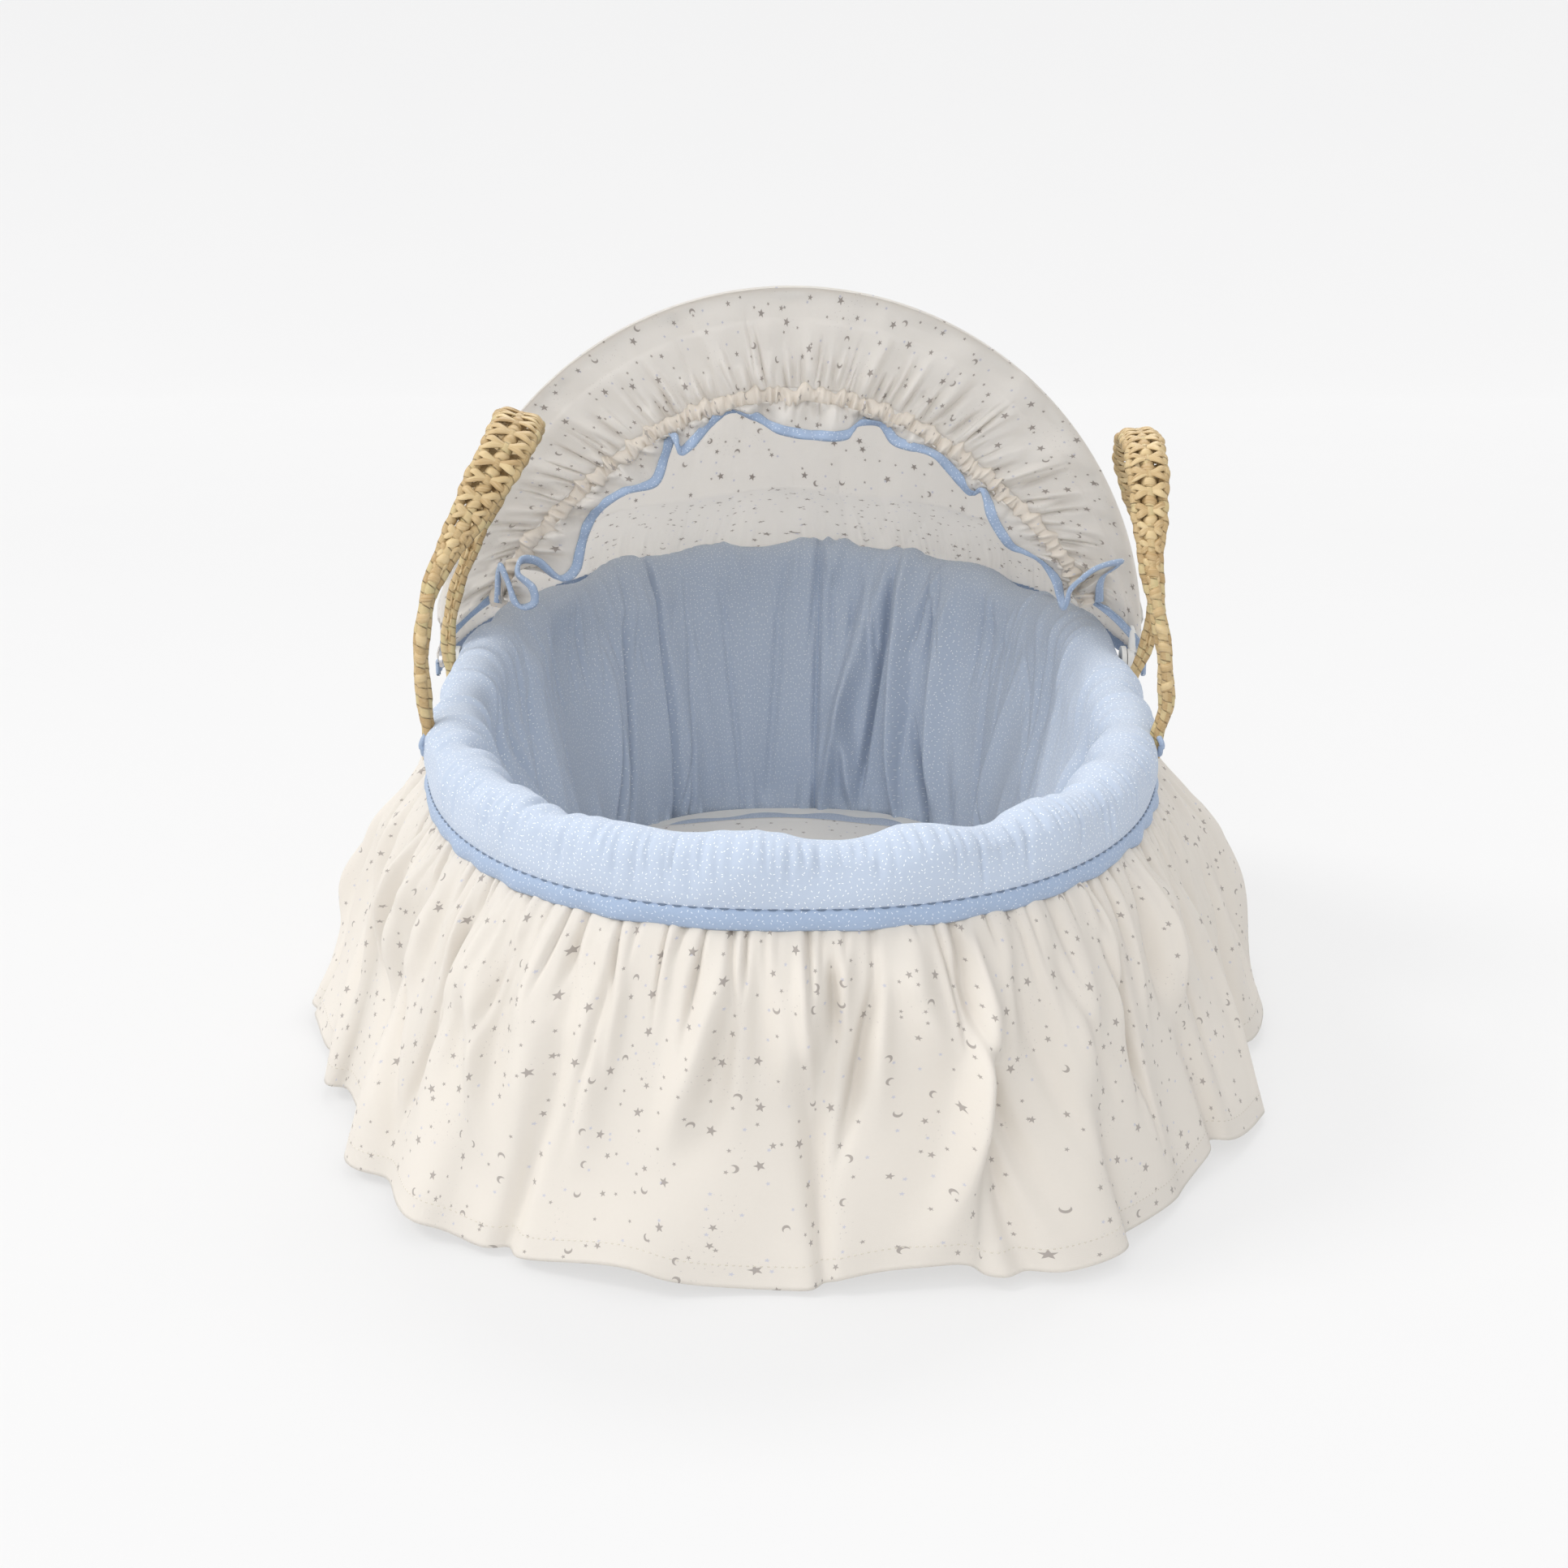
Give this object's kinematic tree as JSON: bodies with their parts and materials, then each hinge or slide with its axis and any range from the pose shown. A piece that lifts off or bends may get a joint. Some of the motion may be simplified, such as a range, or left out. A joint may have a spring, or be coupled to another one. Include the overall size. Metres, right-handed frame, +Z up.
{
  "type": "moses basket cradle",
  "caption": "Woven baby basket with padded liner, gathered skirt, mattress, folding fabric hood and two carry handles.",
  "frame": {"origin": "on the floor under the middle of the basket", "axes": "+Z up, +Y along the basket towards the head end, +X across to the right seen from the foot end"},
  "size_m": [0.69, 0.94, 0.5117],
  "materials": {
    "palm_weave": "dry woven palm leaf",
    "palm_cord": "palm leaf wrapped round a cord, satin where it is folded",
    "hardboard": "smooth pressed board",
    "foam": "open foam",
    "blue_sheet": "blue cotton with small white dashes",
    "star_coverlet": "cream cotton with a star and moon print",
    "blue_padding": "blue cotton with small white dashes over wadding",
    "blue_binding": "blue cotton bias binding",
    "star_skirt": "cream cotton with a star and moon print",
    "star_hood": "cream cotton with a star and moon print",
    "cream_tape": "woven cotton tape and gathered casing",
    "bracket_plastic": "satin",
    "pin_steel": "plated",
    "hoop_steel": "white coated wire"
  },
  "bodies": {
    "root": {"basket_base": "palm_weave", "basket_wall": "palm_weave", "basket_rim": "palm_weave", "base_board": "hardboard", "mattress_core": "foam", "mattress_cover": "blue_sheet", "coverlet": "star_coverlet", "liner_right": "blue_padding", "liner_head": "blue_padding", "liner_left": "blue_padding", "liner_foot": "blue_padding", "liner_roll": "blue_padding", "liner_band": "blue_padding", "liner_edge": "blue_padding", "skirt_tape": "cream_tape", "skirt_right": "star_skirt", "skirt_head": "star_skirt", "skirt_left": "star_skirt", "skirt_foot": "star_skirt", "skirt_hem": "star_skirt", "anchor_left_foot": "palm_cord", "anchor_left_head": "palm_cord", "anchor_right_foot": "palm_cord", "anchor_right_head": "palm_cord", "hood_bracket_left": "bracket_plastic", "hood_bracket_right": "bracket_plastic", "hood_pin_left": "pin_steel", "hood_pin_right": "pin_steel", "hood_rivets": "pin_steel", "hood_rear": "star_hood", "hood_rear_binding": "blue_binding"},
    "hood_front": {"hood_hoop": "hoop_steel", "hood_front": "star_hood", "hood_facing": "star_hood", "hood_elastic": "cream_tape", "hood_ruffle": "star_hood", "ruffle_binding": "blue_binding"},
    "handle_left": {"handle_left_cord": "palm_cord", "handle_left_side_cords": "palm_cord", "handle_left_ties": "palm_cord", "handle_left_feet": "palm_cord"},
    "handle_right": {"handle_right_cord": "palm_cord", "handle_right_side_cords": "palm_cord", "handle_right_ties": "palm_cord", "handle_right_feet": "palm_cord"}
  },
  "joints": [
    {"name": "hood_fold", "type": "hinge", "parent": "root", "child": "hood_front", "pos_m": [0, 0.08, 0.238], "axis": [-1, 0, 0], "range_deg": [0, 50]},
    {"name": "handle_left_swing", "type": "hinge", "parent": "root", "child": "handle_left", "pos_m": [-0.2475, -0.045, 0.224], "axis": [0.0461, -0.9989, 0], "range_deg": [0, 130]},
    {"name": "handle_right_swing", "type": "hinge", "parent": "root", "child": "handle_right", "pos_m": [0.2475, -0.045, 0.224], "axis": [0.0461, 0.9989, 0], "range_deg": [-12, 119]}
  ]
}
